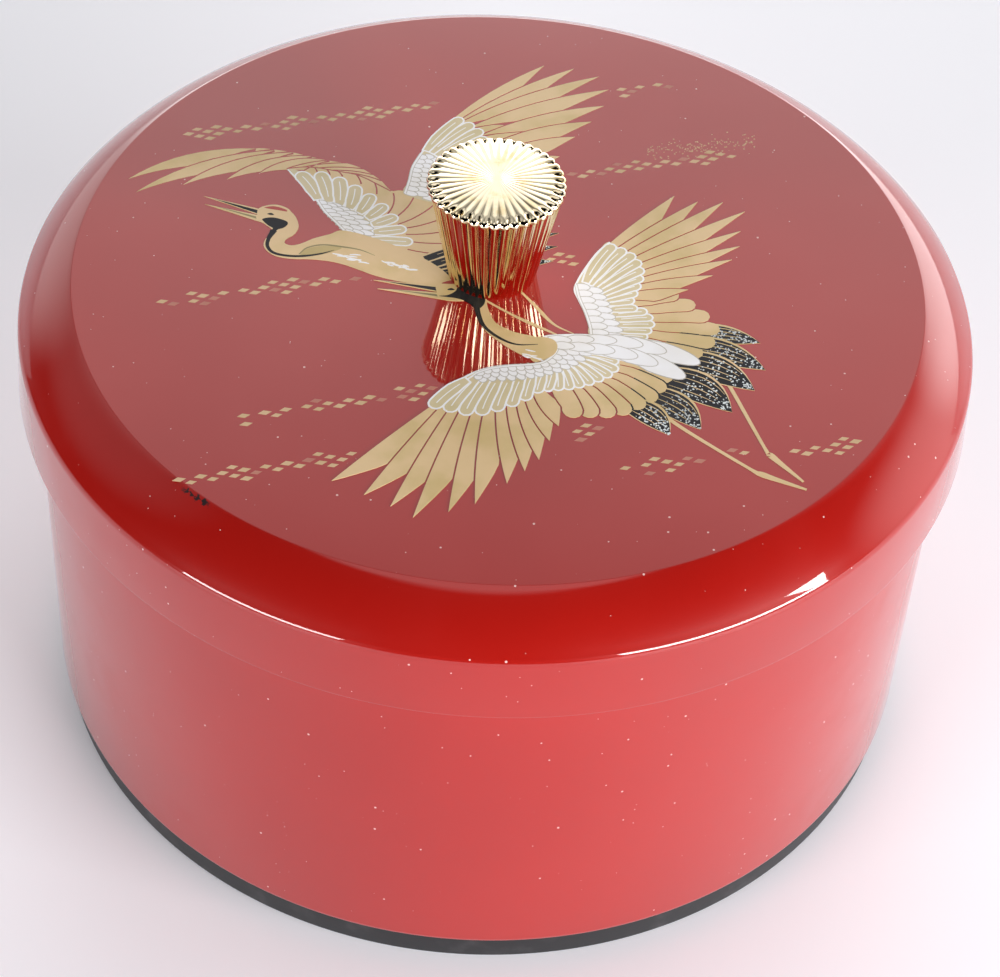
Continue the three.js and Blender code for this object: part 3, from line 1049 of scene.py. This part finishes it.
def lattice():
    picture = Picture("diamond_bands")
    bands = (
        ((-73, 41), (-14, 59)),
        ((26, 67.5), (41, 72)),
        ((15, 35), (54, 46.5)),
        ((-72, -16.5), (-29, -3.5)),
        ((11, 5), (19, 7.5)),
        ((-51, -50), (-10, -37.5)),
        ((-62, -69.5), (-25, -58)),
        ((28, -58.5), (46, -53)),
        ((18, -48.6), (25.6, -46.4)),
        ((50, -51.4), (56, -49.5)),
        ((63, -50.5), (78, -46)),
    )
    for seed, (start, end) in enumerate(bands):
        band(picture, start, end, seed)
    draw = random.Random(11)
    for _ in range(FLECKS):
        share = draw.random()
        place = Vector((lerp(32, 57, share), lerp(45, 50.5, share) + draw.gauss(0, 1.6)))
        picture.add("flake", spot(place, draw.uniform(0.1, 0.24), 5, draw.random()))
    picture.finish()


# Studio

def direction(azimuth, elevation):
    around, up = math.radians(azimuth), math.radians(elevation)
    return Vector((math.cos(up) * math.cos(around), math.cos(up) * math.sin(around), math.sin(up)))


def softbox(name, azimuth, elevation, distance, width, height, power):
    """A soft rectangular light at an angle around and above the box, aimed at it."""
    light = bpy.data.lights.new(name, "AREA")
    light.shape = "RECTANGLE"
    light.size, light.size_y = width, height
    light.energy = power
    lamp = bpy.data.objects.new(name, light)
    bpy.context.collection.objects.link(lamp)
    outwards = direction(azimuth, elevation)
    lamp.location = outwards * distance
    lamp.rotation_euler = (-outwards).to_track_quat("-Z", "Y").to_euler()


def studio_world():
    """A dim room with soft round panels of light, and plain pale to the camera."""
    world = bpy.data.worlds.new("studio")
    bpy.context.scene.world = world
    world.use_nodes = True
    tree = world.node_tree
    way = add_node(tree, "TexCoord").outputs["Generated"]
    light = 0.0
    for azimuth, elevation, inner, outer, strength in PANELS:
        ways = {0: way, 1: direction(azimuth, elevation)}
        facing = add_node(tree, "VectorMath", ways, operation="DOT_PRODUCT").outputs["Value"]
        limits = {1: math.cos(math.radians(outer)), 2: math.cos(math.radians(inner)), 4: strength}
        glow = add_node(tree, "MapRange", {0: facing, **limits}, interpolation_type="SMOOTHSTEP")
        light = add_node(tree, "Math", {0: glow.outputs[0], 1: light}, operation="ADD").outputs[0]
    seen = add_node(tree, "LightPath").outputs["Is Camera Ray"]
    pick = add_node(tree, "Mix", {0: seen, 2: light, 3: BACKGROUND})
    tree.links.new(pick.outputs[0], tree.nodes["Background"].inputs["Color"])


def stage_and_light():
    bpy.ops.mesh.primitive_plane_add(size=6)
    floor = bpy.context.object
    floor.name = "floor"
    glow = {"Emission_Color": FLOOR_COLOR, "Emission_Strength": FLOOR_GLOW}
    pale = Shader("pale_floor", FLOOR_COLOR, Roughness=0.5, **glow)
    floor.data.materials.append(pale.material)
    studio_world()
    for name, settings in SOFTBOXES.items():
        softbox(name, *settings)


def camera():
    data = bpy.data.cameras.new("camera")
    data.lens = CAMERA_LENS
    data.sensor_width = 36
    data.sensor_fit = "HORIZONTAL"
    data.clip_start = 0.01
    viewer = bpy.data.objects.new("camera", data)
    bpy.context.collection.objects.link(viewer)
    viewer.location = CAMERA_PLACE
    look = (Vector(CAMERA_TARGET) - Vector(CAMERA_PLACE)).to_track_quat("-Z", "Y")
    viewer.rotation_euler = look.to_euler()
    viewer.rotation_euler.rotate_axis("Z", CAMERA_ROLL)
    bpy.context.scene.camera = viewer
    bpy.context.scene.view_settings.view_transform = "Standard"


def main():
    camera()
    stage_and_light()
    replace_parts(turned("lacquered_tub", tub_profile(), lacquer("tub_lacquer")), "tub")
    lid_lacquer = lacquer("lid_lacquer", scuffed=True)
    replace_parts(turned("lacquered_lid", lid_profile(), lid_lacquer), "lid")
    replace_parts(turned("black_foot_ring", foot_profile(), black_foot()), "foot_ring")
    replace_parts(knob(), "knob")
    Picture.materials = print_materials()
    lattice()
    rear_near_wing()
    rear_far_wing()
    rear_body()
    front_tail()
    front_far_wing()
    front_near_wing()
    front_body()


main()
